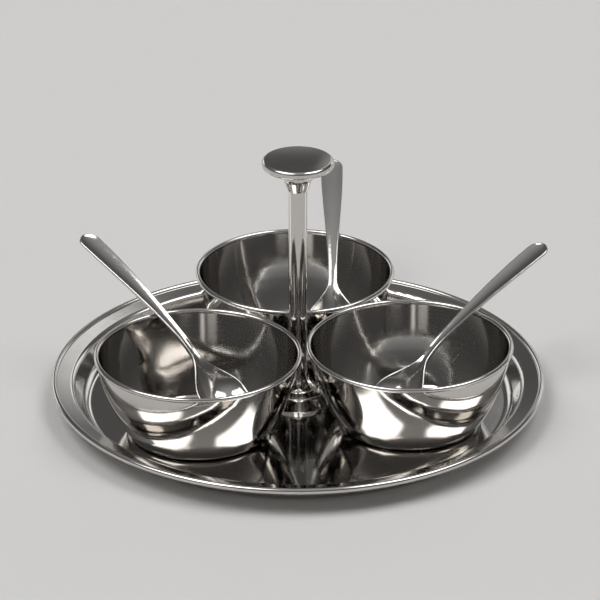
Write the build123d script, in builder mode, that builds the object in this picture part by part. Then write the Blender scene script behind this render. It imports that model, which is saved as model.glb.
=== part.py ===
from build123d import *
from math import cos, hypot, pi, radians, sin, sqrt
import os

# Condiment set: a round steel tray with a carrying handle at its centre, three bowls
# that stand loose on the tray, and a spoon leaning in each bowl.
# Millimetres, +Z up. The origin is the centre of the tray's underside, on the table.

# Tray, pressed from one sheet with its edge rolled into a bead
tray_sheet = 0.8
tray_margin = 11.6
tray_wall_run = 5.6
tray_wall_height = 10.2
tray_flange_width = 8.9
tray_rim_height = 12.0
tray_bead_diameter = 3.0
tray_floor_bend = 6.0
tray_rim_bend = 2.5
boss_ledge = 4.0
boss_slope = 4.5
boss_bend = 2.0

# Handle: a tube with a knob at the top and a flared collar at each end
handle_height = 127.5
post_diameter = 9.0
post_wall = 1.0
knob_diameter = 34.6
knob_thickness = 5.4
knob_crown = 0.7
knob_underside_rise = 0.9
knob_edge_round = 1.7
neck_top_diameter = 14.6
neck_length = 10.8
neck_lip = 0.4
neck_skirt = 4.5
neck_bend = 9.0
foot_diameter = 18.0
foot_height = 7.5
foot_edge = 1.1
foot_lip = 0.7
foot_hollow = 1.3

# Fixings inside the handle and under the tray
thread_diameter = 5.0
insert_length = 13.0
screw_head_diameter = 9.4
screw_head_height = 2.6
socket_across_flats = 3.0
socket_depth = 1.5
washer_diameter = 15.0
washer_thickness = 1.2

# Bowl, spun from sheet with a rolled rim
bowl_diameter = 99.2
bowl_height = 40.0
bowl_sheet = 0.8
bowl_bead_diameter = 2.4
bowl_base_radius = 33.4
bowl_corner = 5.0
bowl_wall_bulge = 2.4

# Places of the bowls on the tray, in degrees from +X
left_bowl_angle = 216.5
right_bowl_angle = -25.0
back_bowl_angle = 91.5

# Spoon, stamped from strip: lengths along it are counted from the tip of its bowl
spoon_length = 134.0
head_half_width = 13.5
head_widest = 24.0
neck_station = 48.0
neck_half_width = 2.3
handle_half_width = 5.75
handle_end_round = 5.5
head_depth = 6.5
head_fullness = 1.6
handle_dish = 0.12
head_thickness = 1.1
neck_thickness = 2.0
handle_thickness = 1.4
spoon_edge_round = 0.45
head_edge_height = 7.7
arch_height = 11.3
arch_station = 57.0
arch_start = 30.0
handle_end_height = 3.0

# Headings of the spoons in plan, in degrees from +X
left_spoon_angle = 135.0
right_spoon_angle = 42.0
back_spoon_angle = 90.0

# How far each spoon passes to the left of its bowl's axis
left_spoon_aside = -16.0
right_spoon_aside = 6.0
back_spoon_aside = -19.0

# How far the tip of each spoon reaches past its bowl's axis
left_spoon_reach = 16.0
right_spoon_reach = 20.0
back_spoon_reach = 25.0

# Clearances
bowl_gap = 1.15
table_gap = 1.2
hole_gap = 0.3
thread_gap = 0.05
thread_spare = 2.0
slip_gap = 0.1
settle_gap = 0.3

# Each bowl's angle, then its spoon's angle, aside and reach
places = {
    "left": (left_bowl_angle, left_spoon_angle, left_spoon_aside, left_spoon_reach),
    "right": (right_bowl_angle, right_spoon_angle, right_spoon_aside, right_spoon_reach),
    "back": (back_bowl_angle, back_spoon_angle, back_spoon_aside, back_spoon_reach),
}

# The bowls stand as near the handle as the closest pair of them allows
turns = sorted(place[0] % 360 for place in places.values())
closest_turn = min((after - before) % 360 for before, after in zip(turns, turns[1:] + turns[:1]))
bowl_pitch_radius = (bowl_diameter + bowl_gap) / (2 * sin(radians(closest_turn) / 2))

# The tray is laid out around the bowls and around the handle's foot
tray_floor_radius = bowl_pitch_radius + bowl_base_radius + tray_margin
tray_wall_radius = tray_floor_radius + tray_wall_run
tray_edge_radius = tray_wall_radius + tray_flange_width
boss_top_radius = foot_diameter / 2 + boss_ledge
boss_foot_radius = boss_top_radius + boss_slope

# Levels up the handle
boss_height = table_gap + screw_head_height + washer_thickness
boss_top = boss_height + tray_sheet
knob_base = handle_height - knob_thickness
knob_shoulder = handle_height - knob_crown
collar_bore = post_diameter / 2 + slip_gap
thread_engagement = insert_length - thread_spare

# The bowl's wall is an arc from its base up to its rim, met by a corner arc at the base
bead_radius = bowl_bead_diameter / 2
bead_ring_radius = bowl_diameter / 2 - bead_radius
rim_radius = bead_ring_radius + bowl_sheet / 2
wall_chord = hypot(rim_radius - bowl_base_radius, bowl_height)
wall_radius = (wall_chord**2 / 4 + bowl_wall_bulge**2) / (2 * bowl_wall_bulge)
wall_reach = (wall_radius - bowl_wall_bulge) / wall_chord
wall_centre_r = (rim_radius + bowl_base_radius) / 2 - wall_reach * bowl_height
wall_centre_z = bowl_height / 2 + wall_reach * (rim_radius - bowl_base_radius)
corner_drop = wall_centre_z - bowl_corner
corner_centre_r = wall_centre_r + sqrt((wall_radius - bowl_corner) ** 2 - corner_drop**2)
corner_share = wall_radius / (wall_radius - bowl_corner)
corner_end_r = wall_centre_r + corner_share * (corner_centre_r - wall_centre_r)
corner_end_z = wall_centre_z - corner_share * corner_drop


def bowl_centre(angle):
    """Centre of a bowl's base, on the tray's floor."""
    turn = radians(angle)
    return Vector(bowl_pitch_radius * cos(turn), bowl_pitch_radius * sin(turn), tray_sheet)


# Formed sheet and turned pieces of the stand


def make_tray():
    """The tray: centre boss, flat floor, raised wall and rolled edge."""
    with BuildPart() as tray:
        with BuildSketch(Plane.XZ):
            with BuildLine():
                FilletPolyline(
                    (thread_diameter / 2 + hole_gap, boss_height),
                    (boss_top_radius, boss_height),
                    (boss_foot_radius, 0),
                    (tray_floor_radius, 0),
                    (tray_wall_radius, tray_wall_height),
                    (tray_edge_radius, tray_rim_height - tray_sheet / 2),
                    radius=[boss_bend, boss_bend, tray_floor_bend, tray_rim_bend],
                )
                offset(amount=tray_sheet, side=Side.LEFT)
            make_face()
            with Locations((tray_edge_radius, tray_rim_height)):
                Circle(tray_bead_diameter / 2)
        revolve(axis=Axis.Z)
    return tray


def make_post():
    """The handle's tube, from the tray's boss up to the underside of the knob."""
    with BuildPart() as post:
        with BuildSketch(Plane.XY.offset(boss_top)):
            Circle(post_diameter / 2)
            Circle(post_diameter / 2 - post_wall, mode=Mode.SUBTRACT)
        extrude(amount=knob_base - boss_top)
    return post


def make_insert(level):
    """A threaded bush pressed into one end of the post, drawn with a plain bore."""
    with BuildPart() as insert:
        with BuildSketch(Plane.XY.offset(level)):
            Circle(post_diameter / 2 - post_wall - thread_gap)
            Circle(thread_diameter / 2 + thread_gap, mode=Mode.SUBTRACT)
        extrude(amount=insert_length)
    return insert


def make_foot_collar():
    """The flared collar that spreads the handle's load over the boss."""
    foot = foot_diameter / 2
    neck = collar_bore + foot_lip
    top = boss_top + foot_height
    with BuildPart() as collar:
        with BuildSketch(Plane.XZ):
            with BuildLine():
                Polyline(
                    (neck, top),
                    (collar_bore, top),
                    (collar_bore, boss_top),
                    (foot, boss_top),
                    (foot, boss_top + foot_edge),
                )
                SagittaArc((foot, boss_top + foot_edge), (neck, top), foot_hollow)
            make_face()
        revolve(axis=Axis.Z)
    return collar


def make_knob_collar():
    """The bell-shaped collar between the post and the knob."""
    wide = neck_top_diameter / 2
    narrow = collar_bore + neck_lip
    low = knob_base - neck_length
    with BuildPart() as collar:
        with BuildSketch(Plane.XZ):
            with BuildLine():
                Polyline((narrow, low), (collar_bore, low), (collar_bore, knob_base), (wide, knob_base))
                FilletPolyline((wide, knob_base), (wide, knob_base - neck_skirt), (narrow, low), radius=neck_bend)
            make_face()
        revolve(axis=Axis.Z)
    return collar


def make_knob():
    """The knob: a disc with a faint crown, and the stud that holds it in the post."""
    rim = knob_diameter / 2
    edge_bottom = knob_base + knob_underside_rise
    largest_share = 0.45
    edge_round = min(knob_edge_round, largest_share * (knob_shoulder - edge_bottom))
    with BuildPart() as knob:
        with BuildSketch(Plane.XZ) as disc:
            with BuildLine():
                Polyline(
                    (0, handle_height),
                    (0, knob_base),
                    (neck_top_diameter / 2, knob_base),
                    (rim, edge_bottom),
                    (rim, knob_shoulder),
                )
                ThreePointArc((rim, knob_shoulder), crown_point(rim / 2), (0, handle_height))
            make_face()
            fillet(disc.vertices().group_by(Axis.X)[-1], radius=edge_round)
        revolve(axis=Axis.Z)
        with BuildSketch(Plane.XY.offset(knob_base)):
            Circle(thread_diameter / 2)
        extrude(amount=-thread_engagement)
    return knob


def crown_point(radius):
    """A point of the knob's spherical crown at a radius from the axis."""
    rim = knob_diameter / 2
    sphere = (rim**2 + knob_crown**2) / (2 * knob_crown)
    return (radius, handle_height - sphere + sqrt(sphere**2 - radius**2))


def make_washer():
    """The washer under the tray's boss."""
    with BuildPart() as washer:
        with BuildSketch(Plane.XY.offset(boss_height)):
            Circle(washer_diameter / 2)
            Circle(thread_diameter / 2 + hole_gap, mode=Mode.SUBTRACT)
        extrude(amount=-washer_thickness)
    return washer


def make_screw():
    """The socket screw that pulls the handle down on the tray, drawn without thread."""
    seat = boss_height - washer_thickness
    with BuildPart() as screw:
        with BuildSketch(Plane.XY.offset(seat)):
            Circle(screw_head_diameter / 2)
        extrude(amount=-screw_head_height)
        fillet(screw.edges().sort_by(Axis.Z)[0], radius=screw_head_height / 3)
        with BuildSketch(Plane.XY.offset(seat)):
            Circle(thread_diameter / 2)
        extrude(amount=washer_thickness + tray_sheet + thread_engagement)
        with BuildSketch(Plane.XY.offset(seat - screw_head_height)):
            RegularPolygon(socket_across_flats / 2, 6, major_radius=False)
        extrude(amount=socket_depth, mode=Mode.SUBTRACT)
    return screw


# Bowls


def make_bowl(centre):
    """A bowl: flat base, curved wall of even sheet, and a rolled rim."""
    section = Plane(origin=centre, x_dir=(1, 0, 0), z_dir=(0, -1, 0))
    turn = Axis(centre, (0, 0, 1))
    with BuildPart() as bowl:
        with BuildSketch(section):
            with BuildLine():
                Polyline((rim_radius, bowl_height), (0, bowl_height), (0, 0), (corner_centre_r, 0))
                RadiusArc((corner_centre_r, 0), (corner_end_r, corner_end_z), -bowl_corner)
                RadiusArc((corner_end_r, corner_end_z), (rim_radius, bowl_height), -wall_radius)
            make_face()
        revolve(axis=turn)
        offset(amount=-bowl_sheet, openings=bowl.faces().sort_by(Axis.Z)[-1])
        with BuildSketch(section):
            with Locations((bead_ring_radius, bowl_height)):
                Circle(bead_radius)
        revolve(axis=turn)
    return bowl


# Spoons


def ease(share):
    """A smooth step from 0 to 1."""
    share = min(max(share, 0.0), 1.0)
    return share * share * (3 - 2 * share)


def spoon_half_width(x):
    """Half the spoon's width in plan: an egg-shaped head, a neck and a widening handle."""
    if x < head_widest:
        return head_half_width * sqrt(1 - (1 - x / head_widest) ** 2)
    if x < neck_station:
        fall = (1 + cos(pi * (x - head_widest) / (neck_station - head_widest))) / 2
        return neck_half_width + (head_half_width - neck_half_width) * fall
    end_start = spoon_length - handle_end_round
    growth = ease((x - neck_station) / (end_start - neck_station))
    half = neck_half_width + (handle_half_width - neck_half_width) * growth
    if x > end_start:
        half *= sqrt(1 - ((x - end_start) / handle_end_round) ** 2)
    return half


def spoon_dish(x):
    """How far the middle of a cross-section lies below its two edges."""
    half = spoon_half_width(x)
    dish = handle_dish * half
    if x < neck_station and half > neck_half_width:
        fill = (half - neck_half_width) / (head_half_width - neck_half_width)
        dish += (head_depth - handle_dish * head_half_width) * fill**head_fullness
    return dish


def spoon_thickness(x):
    """Thickness of the strip: thin in the head, thick at the neck."""
    if x < neck_station:
        thickening = ease((x - head_widest) / (neck_station - head_widest))
        return head_thickness + (neck_thickness - head_thickness) * thickening
    thinning = ease((x - neck_station) / (spoon_length - neck_station))
    return neck_thickness + (handle_thickness - neck_thickness) * thinning


def spoon_edge(x):
    """Height of the upper edges: level at the head, arched behind the neck."""
    if x < arch_station:
        climb = ease((x - arch_start) / (arch_station - arch_start))
        return head_edge_height + (arch_height - head_edge_height) * climb
    sweep = (x - arch_station) / (spoon_length - arch_station)
    return arch_height + (handle_end_height - arch_height) * (1 - cos(pi * sweep / 2))


def spoon_stations():
    """Places of the cross-sections, closer together where the outline turns."""
    tip_turns = (7, 16, 27, 40, 53, 66, 78, 90)
    end_turns = (22, 42, 60, 74, 83)
    back_steps = 7
    shank_steps = 10
    tip = [head_widest * (1 - cos(radians(turn))) for turn in tip_turns]
    back_step = (neck_station - head_widest) / back_steps
    back = [head_widest + back_step * step for step in range(1, back_steps + 1)]
    end_start = spoon_length - handle_end_round
    shank_half = (end_start - neck_station) / 2
    shank_turns = [pi * step / shank_steps for step in range(1, shank_steps + 1)]
    shank = [neck_station + shank_half * (1 - cos(turn)) for turn in shank_turns]
    end = [end_start + handle_end_round * sin(radians(turn)) for turn in end_turns]
    return tip + back + shank + end


def spoon_flat_half(x):
    """Half the width of the upper face, inside the rounding of the edges."""
    return spoon_half_width(x) - spoon_edge_round


def underside(x, y):
    """Height of the spoon's underside at a station and a distance from its middle."""
    half = spoon_flat_half(x)
    dish = spoon_dish(x)
    curve = (half**2 + dish**2) / (2 * dish)
    sag = sqrt(curve**2 - y**2) - (curve - dish)
    return spoon_edge(x) - spoon_thickness(x) - sag


def spoon_feelers():
    """Points of the spoon that can touch a bowl: its underside and its upper edges."""
    points = []
    for x in [spoon_stations()[0]] + list(range(1, int(spoon_length))):
        half, flat, edge = spoon_half_width(x), spoon_flat_half(x), spoon_edge(x)
        across = [share * flat for share in (-1, -0.7, -0.35, 0, 0.35, 0.7, 1)]
        points += [(x, y, underside(x, y)) for y in across]
        for side in (-1, 1):
            points += [(x, side * flat, edge), (x, side * half, edge - spoon_thickness(x) / 2)]
    return points


def steel_gap(radius, height):
    """Distance from a point over a bowl's base to the bowl's steel, in the bowl's own frame."""
    gap = hypot(radius - bead_ring_radius, height - bowl_height) - bead_radius
    if height < bowl_height:
        wall = wall_radius - bowl_sheet - hypot(radius - wall_centre_r, height - wall_centre_z)
        gap = min(gap, wall, height - bowl_sheet)
    if height < bowl_corner and radius > corner_centre_r:
        corner = bowl_corner - bowl_sheet - hypot(radius - corner_centre_r, height - bowl_corner)
        gap = min(gap, corner)
    return gap


def least_gap(points, tilt, lift, aside, reach):
    """Least distance from the spoon's points to the bowl at a tilt and a lift."""
    rise, run = sin(radians(tilt)), cos(radians(tilt))
    gaps = []
    for x, y, z in points:
        ahead = x * run - z * rise - reach
        gaps.append(steel_gap(hypot(ahead, y + aside), lift + x * rise + z * run))
    return min(gaps)


def halve(low, high, is_enough):
    """The least value between two bounds at which a test holds."""
    halvings = 24
    for _ in range(halvings):
        middle = (low + high) / 2
        if is_enough(middle):
            high = middle
        else:
            low = middle
    return high


def settle(aside, reach):
    """Tilt and lift at which a spoon lies on its bowl's floor or wall and on the rim."""
    points = spoon_feelers()
    head = [point for point in points if point[0] < neck_station]
    lowest_tilt, steepest_tilt = 5.0, 75.0
    rounding = 0.0003

    def floor_lift(tilt):
        def is_clear(lift):
            return least_gap(head, tilt, lift, aside, reach) > settle_gap

        return halve(-bowl_height, bowl_height, is_clear)

    def clears(tilt):
        return least_gap(points, tilt, floor_lift(tilt), aside, reach) > settle_gap - rounding

    tilt = halve(lowest_tilt, steepest_tilt, clears)
    return tilt, floor_lift(tilt)


def spoon_plane(centre, angle, aside, reach):
    """The spoon's own frame, X along it, tilted so that it leans on the rim."""
    tilt, lift = settle(aside, reach)
    turn, lean = radians(angle), radians(tilt)
    ahead = Vector(cos(turn), sin(turn), 0)
    left = Vector(-sin(turn), cos(turn), 0)
    along = ahead * cos(lean) + Vector(0, 0, sin(lean))
    origin = centre - ahead * reach + left * aside + Vector(0, 0, lift)
    return Plane(origin=origin, x_dir=along, z_dir=along.cross(left))


def make_spoon(frame):
    """A spoon lofted through curved strips from its tip to the end of its handle."""
    with BuildPart() as spoon:
        for x in spoon_stations():
            half, flat, top = spoon_half_width(x), spoon_flat_half(x), spoon_edge(x)
            dish, bottom = spoon_dish(x), spoon_edge(x) - spoon_thickness(x)
            middle = (top + bottom) / 2
            with BuildSketch(frame * Plane.YZ.offset(x)):
                with BuildLine():
                    ThreePointArc((-flat, top), (0, top - dish), (flat, top))
                    ThreePointArc((flat, top), (half, middle), (flat, bottom))
                    ThreePointArc((flat, bottom), (0, bottom - dish), (-flat, bottom))
                    ThreePointArc((-flat, bottom), (-half, middle), (-flat, top))
                make_face()
        loft()
    return spoon


pieces = {
    "tray": make_tray(),
    "handle_post": make_post(),
    "handle_knob": make_knob(),
    "knob_collar": make_knob_collar(),
    "foot_collar": make_foot_collar(),
    "upper_insert": make_insert(knob_base - insert_length),
    "lower_insert": make_insert(boss_top),
    "tray_washer": make_washer(),
    "tray_screw": make_screw(),
}
for side, (bowl_angle, spoon_angle, aside, reach) in places.items():
    centre = bowl_centre(bowl_angle)
    pieces["bowl_" + side] = make_bowl(centre)
    pieces["spoon_" + side] = make_spoon(spoon_plane(centre, spoon_angle, aside, reach))

os.makedirs("parts", exist_ok=True)
for name, piece in pieces.items():
    piece.part.label = name
    export_step(piece.part, "parts/" + name + ".step")
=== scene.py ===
from math import cos, pi, radians, sin

import bpy
import numpy as np
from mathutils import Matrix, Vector


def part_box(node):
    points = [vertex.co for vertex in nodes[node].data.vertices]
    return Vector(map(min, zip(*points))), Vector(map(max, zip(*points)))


# Dressing of the condiment set: polished steel, a pale floor, studio light and the
# camera at the photograph's angle. Metres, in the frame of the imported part.

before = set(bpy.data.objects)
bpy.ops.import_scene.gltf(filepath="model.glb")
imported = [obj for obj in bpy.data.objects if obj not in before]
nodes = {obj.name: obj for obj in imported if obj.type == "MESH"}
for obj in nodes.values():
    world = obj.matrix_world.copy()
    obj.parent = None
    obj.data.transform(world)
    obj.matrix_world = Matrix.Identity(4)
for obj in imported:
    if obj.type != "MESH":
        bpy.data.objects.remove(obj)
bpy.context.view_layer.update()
origin = Vector((0.0, 0.0, 0.0))
up = Vector((0.0, 0.0, 1.0))

# Camera
view_elevation = radians(25.4)
view_distance = 1.81
view_aim = Vector((0.001, 0.0, 0.053))
view_lens = 225.0

# Floor
floor_radius = 30.0
floor_sides = 96
floor_colour = (0.66, 0.65, 0.64)
floor_roughness = 0.7
floor_specular = 0.2

# Light of the surroundings by the sine of its height above the horizon
sky = {0.0: 0.64, 0.14: 0.50, 0.30: 0.13, 0.45: 0.08, 0.65: 0.12, 0.86: 0.34, 1.0: 0.44}

# Softboxes at a great distance: azimuth (0 in front, 90 to the right), elevation, and
# the width and height that each would have at one metre, then its brightness
softboxes = {
    "overhead_left": (-70, 62, 0.66, 0.56, 4.2),
    "overhead_right": (98, 64, 0.60, 0.50, 3.7),
    "flange": (171, 28, 0.12, 0.34, 1.2),
    "left_edge": (-150, 17, 0.44, 0.22, 0.95),
    "right_edge": (149, 19, 0.36, 0.24, 0.95),
}
# Half the width of a softbox's soft edge, also at one metre
softbox_edge = 0.05

# Finishes of the metals: roughness, and in metres the depth of the polishing lines, the
# depth of the waves in the sheet, and the radius over which edges are softened
steel_colour = (0.64, 0.62, 0.595)
handle_finish = {"roughness": 0.07, "grain_depth": 2.5e-6}
tray_finish = {"roughness": 0.075, "grain_depth": 2.5e-6, "waviness": 9e-5}
bowl_finish = {"roughness": 0.07, "grain_depth": 8e-7, "waviness": 6e-5}
spoon_finish = {"roughness": 0.08, "grain_depth": 2.5e-6, "softening": 0.0009}
fixing_finish = {"roughness": 0.28, "colour": (0.62, 0.61, 0.60)}
brass_finish = {"roughness": 0.25, "colour": (0.72, 0.56, 0.30)}

# Waves in the sheet to the metre, and how many samples soften an edge
wave_fineness = 24.0
softening_samples = 8

# Detail and roughness of coarse noise and of noise with finer grain in it, and the middle
# of the values of both
plain_noise = (1.0, 0.5)
rich_noise = (3.0, 0.6)
noise_middle = 0.5

# Polishing lines: their number to the metre, how many times longer than wide they are on a
# drawn piece, the range of their noise, and the share by which they vary the roughness
grain_fineness = 900.0
grain_stretch = 50.0
grain_range = (0.3, 0.7)
grain_share = 0.35

# Smudges: their number to the metre, the range of their noise that hazes the metal and the
# share of its roughness that they add, and the range that darkens it and the share of its
# colour that is left there
smudge_fineness = 45.0
haze_range = (0.48, 0.75)
haze_share = 0.9
tint_range = (0.35, 0.7)
tint_left = 0.94

# Hairline scratches: how fine their noise is along x, y and z in each of two directions,
# their width in it, the roughness that they add, and the noise of the patches that have them
scratch_fineness = ((700.0, 18.0, 60.0), (26.0, 560.0, 60.0))
scratch_width = 0.006
scratch_roughness = 0.16
patch_fineness = 60.0
patch_range = (0.55, 0.62)


def feed(tree, socket, value):
    """Links a node's output to a socket, or sets the socket to a plain number or vector."""
    if isinstance(value, bpy.types.NodeSocket):
        tree.links.new(value, socket)
    else:
        socket.default_value = value


def scalar_math(tree, operation, *values):
    """A maths node on sockets or plain numbers."""
    node = tree.nodes.new("ShaderNodeMath")
    node.operation = operation
    for socket, value in zip(node.inputs, values):
        feed(tree, socket, value)
    return node.outputs[0]


def vector_math(tree, operation, *values):
    """A vector maths node. It gives its vector, or its number for DOT_PRODUCT and LENGTH."""
    node = tree.nodes.new("ShaderNodeVectorMath")
    node.operation = operation
    for socket, value in zip(node.inputs, values):
        feed(tree, socket, value)
    return node.outputs["Value" if operation in ("DOT_PRODUCT", "LENGTH") else "Vector"]


def scaled(tree, vector, factor):
    """A vector times a number."""
    node = tree.nodes.new("ShaderNodeVectorMath")
    node.operation = "SCALE"
    feed(tree, node.inputs[0], vector)
    feed(tree, node.inputs["Scale"], factor)
    return node.outputs["Vector"]


def noise(tree, vector, scale, kind=plain_noise):
    """A noise texture's grey value, from about 0.2 to 0.8."""
    node = tree.nodes.new("ShaderNodeTexNoise")
    tree.links.new(vector, node.inputs["Vector"])
    for name, value in zip(("Scale", "Detail", "Roughness"), (scale, *kind)):
        node.inputs[name].default_value = value
    return node.outputs[0]


def band(tree, value, low, high, at_low, at_high, soft=False):
    """Maps a value from one range to another, held at both ends."""
    node = tree.nodes.new("ShaderNodeMapRange")
    node.interpolation_type = "SMOOTHSTEP" if soft else "LINEAR"
    tree.links.new(value, node.inputs["Value"])
    limits = {"From Min": low, "From Max": high, "To Min": at_low, "To Max": at_high}
    for name, limit in limits.items():
        node.inputs[name].default_value = limit
    return node.outputs["Result"]


def ring_grain(centre):
    """Grain in rings round a vertical axis, as polishing on a turning spindle leaves it."""
    def coordinates(tree, point):
        place = vector_math(tree, "SUBTRACT", point, centre)
        flat = vector_math(tree, "MULTIPLY", place, (1.0, 1.0, 0.0))
        radius = vector_math(tree, "LENGTH", flat)
        around = vector_math(tree, "NORMALIZE", flat)
        height = vector_math(tree, "DOT_PRODUCT", place, up)
        across = scalar_math(tree, "ADD", radius, height)
        rings = scaled(tree, up, scalar_math(tree, "MULTIPLY", across, grain_fineness))
        return vector_math(tree, "ADD", rings, around)
    return coordinates


def long_grain(axis):
    """Grain in lines along an axis, as polishing along a drawn piece leaves it."""
    def coordinates(tree, point):
        along = vector_math(tree, "DOT_PRODUCT", point, axis)
        fine = scaled(tree, point, grain_fineness)
        excess = (1 / grain_stretch - 1) * grain_fineness
        shorten = scaled(tree, axis, scalar_math(tree, "MULTIPLY", along, excess))
        return vector_math(tree, "ADD", fine, shorten)
    return coordinates


def hairlines(tree, point, fineness):
    """Scratches in one direction, where noise crosses its middle: 1 on them and 0 elsewhere."""
    lines = noise(tree, vector_math(tree, "MULTIPLY", point, fineness), 1.0)
    offset = scalar_math(tree, "ABSOLUTE", scalar_math(tree, "SUBTRACT", lines, noise_middle))
    return band(tree, offset, 0.0, scratch_width, 1.0, 0.0)


def scratches(tree, point):
    """Hairline scratches in two directions, in patches: 1 on a scratch and 0 elsewhere."""
    first, second = (hairlines(tree, point, fineness) for fineness in scratch_fineness)
    either = scalar_math(tree, "MAXIMUM", first, second)
    patches = band(tree, noise(tree, point, patch_fineness), *patch_range, 0.0, 1.0)
    return scalar_math(tree, "MULTIPLY", either, patches)


def softened(tree, radius):
    """Shading normal averaged over a small radius, as buffing rounds a formed edge."""
    node = tree.nodes.new("ShaderNodeBevel")
    node.samples = softening_samples
    node.inputs["Radius"].default_value = radius
    return node.outputs["Normal"]


def bump(tree, height, depth, before):
    """Adds relief of a depth in metres to the shading normal."""
    node = tree.nodes.new("ShaderNodeBump")
    node.inputs["Strength"].default_value = 1.0
    node.inputs["Distance"].default_value = depth
    tree.links.new(height, node.inputs["Height"])
    if before:
        tree.links.new(before, node.inputs["Normal"])
    return node.outputs["Normal"]


def metal(name, grain, roughness, colour=steel_colour, grain_depth=0.0, waviness=0.0, softening=0.0):
    """A metal with polishing lines, faint smudges and hairline scratches, and the relief given."""
    material = bpy.data.materials.new(name)
    material.use_nodes = True
    tree = material.node_tree
    shader = tree.nodes["Principled BSDF"]
    shader.inputs["Metallic"].default_value = 1.0
    point = tree.nodes.new("ShaderNodeTexCoord").outputs["Object"]
    lines = noise(tree, grain(tree, point), 1.0, rich_noise)
    smudges = noise(tree, point, smudge_fineness, rich_noise)

    smooth, rough = roughness * (1 - grain_share), roughness * (1 + grain_share)
    level = band(tree, lines, *grain_range, smooth, rough)
    haze = band(tree, smudges, *haze_range, 0.0, roughness * haze_share)
    marks = scalar_math(tree, "MULTIPLY", scratches(tree, point), scratch_roughness)
    total = scalar_math(tree, "ADD", scalar_math(tree, "ADD", level, haze), marks)
    tree.links.new(total, shader.inputs["Roughness"])

    tint = band(tree, smudges, *tint_range, 1.0, tint_left)
    tree.links.new(scaled(tree, colour, tint), shader.inputs["Base Color"])

    relief = softened(tree, softening) if softening else None
    if waviness:
        relief = bump(tree, noise(tree, point, wave_fineness), waviness, relief)
    if grain_depth:
        relief = bump(tree, lines, grain_depth, relief)
    if relief:
        tree.links.new(relief, shader.inputs["Normal"])
    return material


def long_axis(node):
    """Direction in which a node's mesh is longest."""
    points = np.array([vertex.co for vertex in node.data.vertices])
    points -= points.mean(axis=0)
    return Vector(np.linalg.svd(points, full_matrices=False)[2][0])


def box_middle(name):
    """Middle of a node's box, at the level of the floor."""
    low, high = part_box(name)
    return Vector(((low.x + high.x) / 2, (low.y + high.y) / 2, 0.0))


def make_finishes():
    """The metal of each node, by the node's name."""
    turned = metal("turned_steel", ring_grain(origin), **handle_finish)
    fixing = metal("fixing_steel", ring_grain(origin), **fixing_finish)
    brass = metal("brass", ring_grain(origin), **brass_finish)
    finishes = {
        "tray": metal("tray_steel", ring_grain(origin), **tray_finish),
        "handle_post": metal("post_steel", long_grain(up), **handle_finish),
        "handle_knob": turned,
        "knob_collar": turned,
        "foot_collar": turned,
        "tray_washer": fixing,
        "tray_screw": fixing,
        "upper_insert": brass,
        "lower_insert": brass,
    }
    for side in ("left", "right", "back"):
        bowl, spoon = "bowl_" + side, "spoon_" + side
        rings, strokes = ring_grain(box_middle(bowl)), long_grain(long_axis(nodes[spoon]))
        finishes[bowl] = metal(bowl + "_steel", rings, **bowl_finish)
        finishes[spoon] = metal(spoon + "_steel", strokes, **spoon_finish)
    return finishes


def make_camera():
    """The camera looks along +Y from the front, at the photograph's elevation."""
    data = bpy.data.cameras.new("camera")
    data.lens = view_lens
    camera = bpy.data.objects.new("camera", data)
    back = Vector((0.0, -cos(view_elevation), sin(view_elevation)))
    camera.location = view_aim + back * view_distance
    camera.rotation_euler = (-back).to_track_quat("-Z", "Y").to_euler()
    bpy.context.scene.collection.objects.link(camera)
    bpy.context.scene.camera = camera


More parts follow.
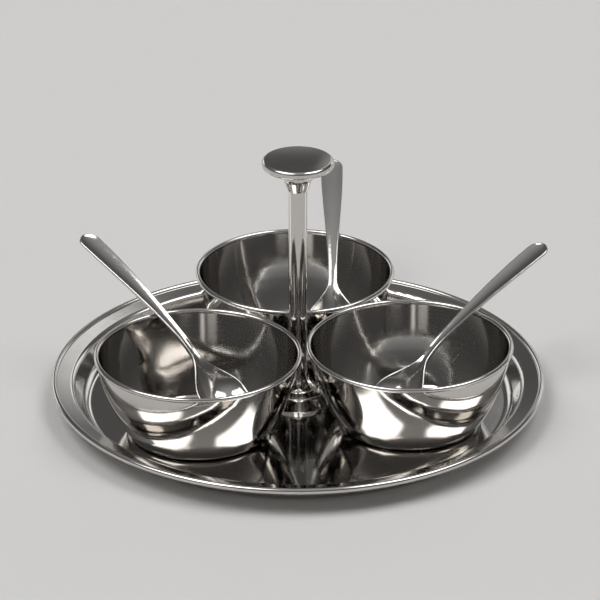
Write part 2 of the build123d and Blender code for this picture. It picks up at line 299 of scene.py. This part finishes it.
def make_floor():
    """A plain pale floor at the level that the tray stands on."""
    turns = [2 * pi * step / floor_sides for step in range(floor_sides)]
    points = [(floor_radius * cos(turn), floor_radius * sin(turn), 0.0) for turn in turns]
    mesh = bpy.data.meshes.new("floor")
    mesh.from_pydata(points, [], [tuple(range(floor_sides))])
    floor = bpy.data.objects.new("floor", mesh)
    bpy.context.scene.collection.objects.link(floor)
    material = bpy.data.materials.new("floor")
    material.use_nodes = True
    shader = material.node_tree.nodes["Principled BSDF"]
    shader.inputs["Base Color"].default_value = (*floor_colour, 1.0)
    shader.inputs["Roughness"].default_value = floor_roughness
    shader.inputs["Specular IOR Level"].default_value = floor_specular
    mesh.materials.append(material)


def softbox(tree, direction, azimuth, elevation, width, height, level):
    """Brightness of a soft-edged rectangle of the surroundings, 0 outside it."""
    turn, rise = radians(azimuth), radians(elevation)
    facing = Vector((sin(turn) * cos(rise), -cos(turn) * cos(rise), sin(rise)))
    across = Vector((cos(turn), sin(turn), 0.0))
    depth = vector_math(tree, "DOT_PRODUCT", direction, facing)
    light = scalar_math(tree, "MULTIPLY", scalar_math(tree, "GREATER_THAN", depth, 0.0), level)
    for axis, size in ((across, width), (facing.cross(across), height)):
        place = vector_math(tree, "DOT_PRODUCT", direction, axis)
        aside = scalar_math(tree, "ABSOLUTE", scalar_math(tree, "DIVIDE", place, depth))
        start, end = size / 2 - softbox_edge, size / 2 + softbox_edge
        inside = band(tree, aside, start, end, 1.0, 0.0, soft=True)
        light = scalar_math(tree, "MULTIPLY", light, inside)
    return light


def make_world():
    """Soft studio surroundings: pale at the horizon, grey overhead, dark between, and softboxes."""
    world = bpy.data.worlds.new("studio")
    bpy.context.scene.world = world
    world.use_nodes = True
    tree = world.node_tree
    direction = tree.nodes.new("ShaderNodeTexCoord").outputs["Generated"]
    ramp = tree.nodes.new("ShaderNodeValToRGB")
    ramp.color_ramp.interpolation = "B_SPLINE"
    tree.links.new(vector_math(tree, "DOT_PRODUCT", direction, up), ramp.inputs[0])
    elements = ramp.color_ramp.elements
    # A new element may go anywhere, because the loop below places them all
    while len(elements) < len(sky):
        elements.new(0.5)
    for element, (place, level) in zip(elements, sky.items()):
        element.position = place
        element.color = (level, level, level, 1.0)
    light = ramp.outputs[0]
    for setting in softboxes.values():
        light = scalar_math(tree, "ADD", light, softbox(tree, direction, *setting))
    tree.links.new(light, tree.nodes["Background"].inputs["Color"])


finishes = make_finishes()
for name, node in nodes.items():
    node.data.materials.clear()
    node.data.materials.append(finishes[name])

make_camera()
make_floor()
make_world()
bpy.context.scene.view_settings.view_transform = "Standard"
